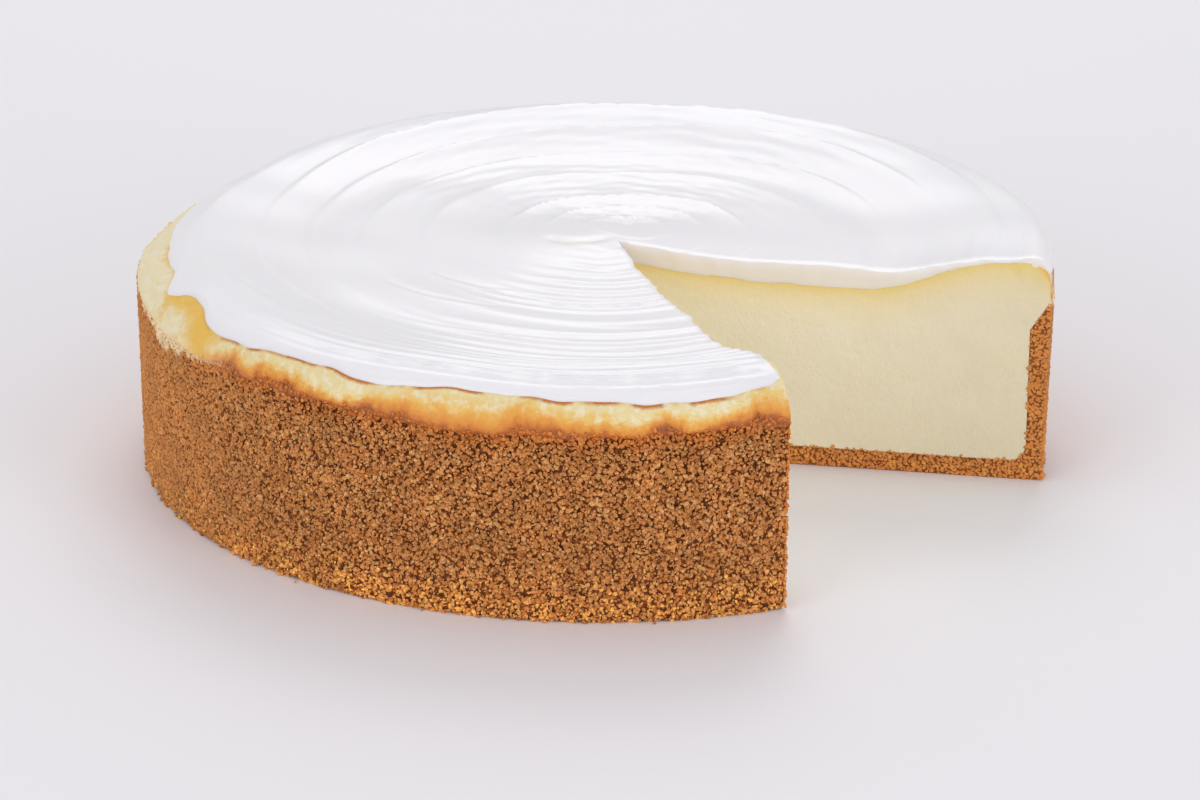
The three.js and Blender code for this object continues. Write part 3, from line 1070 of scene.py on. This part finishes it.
def crumbTints(rng, turn, z, count):  # each crumb's own brown, how the bake changes it, and painted light on the left and near the foot
    chance = rng.uniform(0, 1, count)
    tints = mixTints(0.3 + chance / 0.7, pickedTint("dark") + 0 * chance[:, None], pickedTint("mid"))
    tints = mixTints(0.8 * (chance - 0.6) / 0.4, tints, pickedTint("light"))
    nearTop = smoothStep(z - (crustTop(turn) + fringeTop(turn)), *crumbLook["bakedEdge"])
    tints = mixTints(crumbLook["bakedShare"] * nearTop, tints, pickedTint("baked"))
    # painted light: on the left the crumbs turn towards a lighter, cooler brown
    left = leftLitShare(turn)
    tints = mixTints(crumbLook["leftLitShare"] * left, tints, pickedTint("mid") * crumbLook["leftLightTint"])
    foot = 1 - smoothStep(z, *crumbLook["footEdge"])
    # golden crumbs at the foot, partly real and partly painted light that makes the lower wall lighter
    golden = rng.uniform(0, 1, count) < crumbLook["goldShare"] * foot * (1 - 0.75 * left)
    tints = np.where(golden[:, None], pickedTint("gold"), tints)
    x, y = onRim(turn)
    shade = 1 + 0.06 * slowShade(x, y, z) + 0.05 * quickShade(x, y, z)
    tints = tints * (rng.uniform(0.9, 1.1, count) * shade)[:, None]
    # painted light: crumbs near the foot are lighter and warmer, standing in for light thrown up from the
    # floor, less so on the left
    tints = tints * (1 + (foot * (1 - 0.9 * left))[:, None] * crumbLook["footBounceLight"])
    coated = pickedTint("coated") * rng.uniform(0.92, 1.03, (count, 1))
    return mixTints(coat["share"] * coatShare(turn, z), tints, coated)


def wallCrumbs(kind, seed):
    rng = np.random.default_rng(seed)
    radius = cake["radius"]
    rowCount = int((crust["height"] + crumbs["above"]) / kind["rowPitch"])
    columnCount = int(2 * math.pi * radius / kind["pitch"])
    rowIndex, columnIndex = np.meshgrid(np.arange(rowCount), np.arange(columnCount), indexing="ij")
    turn = (columnIndex + 0.5 * (rowIndex % 2)) * 2 * math.pi / columnCount
    z = crumbs["lowest"] + rowIndex * kind["rowPitch"]
    turn = turn.ravel() + rng.normal(0, kind["jitter"], turn.size) / radius
    z = z.ravel() + rng.normal(0, kind["jitter"], z.size)
    z = np.maximum(z, 0.4 * mm)
    keep = z < crustTop(turn) + fringeTop(turn) + rng.normal(0, crumbs["topRagged"], z.size)
    keep &= rng.uniform(0, 1, z.size) < kind["share"]
    turn, z = turn[keep], z[keep]
    smallest, largest = kind["sizes"]
    size = smallest + (largest - smallest) * rng.uniform(0, 1, z.size) ** crumbs["sizeBias"]
    foot = crust["footIn"] * (1 - np.clip(z / crust["height"], 0, 1))
    foot += crumbs["footDrawn"] * (1 - smoothStep(z, 0, crumbs["footHeight"]))
    surface = np.where(z > crustTop(turn), shoulderRadius(z, turn), radius - foot) + crumbs["proud"]
    face = surface + crumbs["uneven"] * rng.normal(0, 1, z.size)
    centre = face - crumbs["depth"] * size
    x, y = centre * np.cos(turn), centre * np.sin(turn)
    inside = ~inWedge(x, y, cutApex(0), -0.5 * size)
    turn, z, size = turn[inside], z[inside], size[inside]
    centres = np.stack([x[inside], y[inside], z], axis=1)
    tints = crumbTints(rng, turn, z, z.size)

    # browner and brighter along the edge of the near cut
    fromCut = np.abs(besideCut(centres[:, 0], centres[:, 1], cutApex(0), cake["nearCut"])[0])
    atEdge = (1 - smoothStep(fromCut, *crumbs["cutEdge"])) * (np.sin(turn) < -0.5)
    tints = mixTints(crumbs["cutEdgeShare"] * atEdge, tints, pickedTint("edge"))

    # the pressed side of each leans a little its own way
    outward = np.stack([np.cos(turn), np.sin(turn), 0 * turn], axis=1)
    facing = outward + crumbs["tilt"] * rng.normal(size=outward.shape)
    facing /= np.linalg.norm(facing, axis=1, keepdims=True)
    limit = ((centres + crumbs["depth"] * size[:, None] * outward) * facing).sum(axis=1)
    return centres, size, tints, np.concatenate([facing, limit[:, None]], axis=1)


def cutCrumbs(heading, side, seed):  # crumbs over one cut face of the crust
    rng = np.random.default_rng(seed)
    kind = crumbs["cut"]
    pitch, jitter, ragged, margin = kind["pitch"], kind["jitter"], crumbs["innerRagged"], crumbs["margin"]
    base, fillet = crust["base"], crust["fillet"]
    apex = cutApex(0)
    out = np.array([side * -math.sin(heading), side * math.cos(heading), 0])  # square to the cut
    length = float(rayReach(cake["radius"], np.array(heading), apex))
    levels = np.arange(crumbs["lowest"], crust["height"], pitch)
    along, z = np.meshgrid(np.arange(0, length, pitch), levels, indexing="ij")
    along = along.ravel() + rng.normal(0, jitter, along.size)
    z = z.ravel() + rng.normal(0, jitter, z.size)
    x, y = alongRay(along, heading, apex)
    radius, turn = polar(x, y)
    top = crustTop(turn)
    innerRadius = cake["radius"] - crust["wall"]
    corner = np.hypot(np.maximum(radius - innerRadius + fillet, 0), np.maximum(base + fillet - z, 0))
    inBase = z < base + rng.normal(0, ragged, z.size)
    inFillet = (corner > fillet) & (z < base + fillet) & (radius > innerRadius - fillet)
    slopeStart = innerRadius + crust["wall"] * np.clip((z - top + crust["slope"]) / crust["slope"], 0, 1)
    inWall = (radius > slopeStart + margin + rng.normal(0, ragged, z.size)) & (z < top)
    keep = (inBase | inFillet | inWall) & (radius < cake["radius"] - margin) & (z > margin)
    x, y, z, turn = x[keep], y[keep], z[keep], turn[keep]
    size = rng.uniform(*kind["sizes"], z.size)
    uneven = crumbs["cutUneven"] * crumbs["uneven"] * rng.normal(0, 1, z.size)
    face = out[0] * apex[0] + out[1] * apex[1] + crumbs["cutProud"] + uneven
    centres = np.stack([x, y, np.maximum(z, crumbs["lowest"])], axis=1)
    back = (centres * out).sum(axis=1) - face + crumbs["cutCentre"] * size
    centres -= back[:, None] * out
    presses = np.concatenate([np.tile(out, (z.size, 1)), face[:, None]], axis=1)
    tints = mixTints(np.full(z.size, 0.5), crumbTints(rng, turn, z, z.size), pickedTint("cut"))
    return centres, size, tints, presses


def looseCrumbs():  # a few that fell at the foot of the wall and of the cut
    rng = np.random.default_rng(17)
    kind = crumbs["loose"]
    turn = rng.uniform(cake["farCut"], cake["nearCut"], kind["count"])
    radius = cake["radius"] - kind["inset"] + rng.exponential(kind["spread"], kind["count"])
    size = rng.uniform(*kind["sizes"], kind["count"])
    centres = np.stack([radius * np.cos(turn), radius * np.sin(turn), 0.75 * size], axis=1)
    keep = ~inWedge(centres[:, 0], centres[:, 1], cutApex(0), 0)
    presses = np.tile([0, 0, 1, 0.1], (keep.sum(), 1))  # nothing pressed them
    tints = crumbTints(rng, turn[keep], centres[keep, 2], keep.sum())
    return centres[keep], size[keep], tints, presses


def makeCrumbs():
    material = crumbMaterial()
    for kind, pieceCount, seed, shuffle, firstSeed in (("large", 4, 5, 3, 30), ("small", 2, 6, 4, 50)):
        grains = wallCrumbs(crumbs[kind], seed)
        order = np.random.default_rng(shuffle).permutation(len(grains[0]))
        name = "wallCrumbs" if kind == "large" else "smallCrumbs"
        for index in range(pieceCount):
            picked = [part[order[index::pieceCount]] for part in grains]
            piece = grainPiece(f"{name}{index + 1}", picked, firstSeed + index, small=kind == "small")
            finishPiece(piece, material, "crumb_crust")
    parts = [cutCrumbs(cake["farCut"], -1, 7), cutCrumbs(cake["nearCut"], 1, 8), looseCrumbs()]
    grains = [np.concatenate([part[index] for part in parts]) for index in range(4)]
    finishPiece(grainPiece("cutCrumbs", grains, 40), material, "crumb_crust")


makeFilling()
makeCream()
makeCrust()
makeCrumbs()
print("cake made")


# floor, light and camera
studio = dict(
    floorTone=tone(245, 243, 247),
    worldTone=tone(250, 250, 252),
    worldStrength=0.62,
    lights=dict(
        backLight=dict(stand=(0.05, 1.6, 1.6), size=1.3, power=9.8),
        topLight=dict(stand=(-0.3, 0.2, 1.7), size=1.3, power=2),
        frontLight=dict(stand=(-1.3, -1.5, 0.7), size=1.4, power=8),
        sideLight=dict(stand=(1.4, -1.5, 0.6), size=1.1, power=9),
    ),
)
view = dict(
    distance=1524 * mm,
    elevation=math.radians(20.91),
    target=(1.4097 * mm, 0.0, 14.1859 * mm),
    roll=math.radians(0.481),
    lens=162.9,
    sensor=36,
    reach=20,
)


def makeFloor():
    bm = bmesh.new()
    bmesh.ops.create_grid(bm, x_segments=1, y_segments=1, size=4)
    mesh = bpy.data.meshes.new("floor")
    bm.to_mesh(mesh)
    bm.free()
    floor = newObject("floor", mesh)
    material, tree = newFinish("floor", {
        "Base Color": studio["floorTone"], "Roughness": 0.6, "Specular IOR Level": 0.2})
    mesh.materials.append(material)


def softLight(name, stand, size, power):
    data = bpy.data.lights.new(name, "AREA")
    data.shape = "DISK"
    data.size = size
    data.energy = power
    light = newObject(name, data)
    light.location = stand
    light.rotation_euler = (-Vector(stand)).to_track_quat("-Z", "Y").to_euler()


def makeCamera():
    data = bpy.data.cameras.new("camera")
    data.lens = view["lens"]
    data.sensor_width = view["sensor"]
    data.clip_end = view["reach"]
    camera = newObject("camera", data)
    lift, roll = view["elevation"], view["roll"]
    right = np.array([1, 0, 0])
    back = np.array([0, -math.cos(lift), math.sin(lift)])
    up = np.array([0, math.sin(lift), math.cos(lift)])
    rolledRight = math.cos(roll) * right + math.sin(roll) * up
    rolledUp = -math.sin(roll) * right + math.cos(roll) * up
    stand = np.array(view["target"]) + np.array([*cake["axis"], 0]) + view["distance"] * back
    columns = np.stack([rolledRight, rolledUp, back, stand], axis=1)
    camera.matrix_world = Matrix([*columns.tolist(), [0, 0, 0, 1]])
    bpy.context.scene.camera = camera


makeFloor()
for name, light in studio["lights"].items():
    softLight(name, **light)
world = bpy.data.worlds.new("studio")
world.use_nodes = True
world.node_tree.nodes["Background"].inputs["Color"].default_value = studio["worldTone"]
world.node_tree.nodes["Background"].inputs["Strength"].default_value = studio["worldStrength"]
bpy.context.scene.world = world
makeCamera()
bpy.context.scene.view_settings.view_transform = "Standard"
print("stage set")
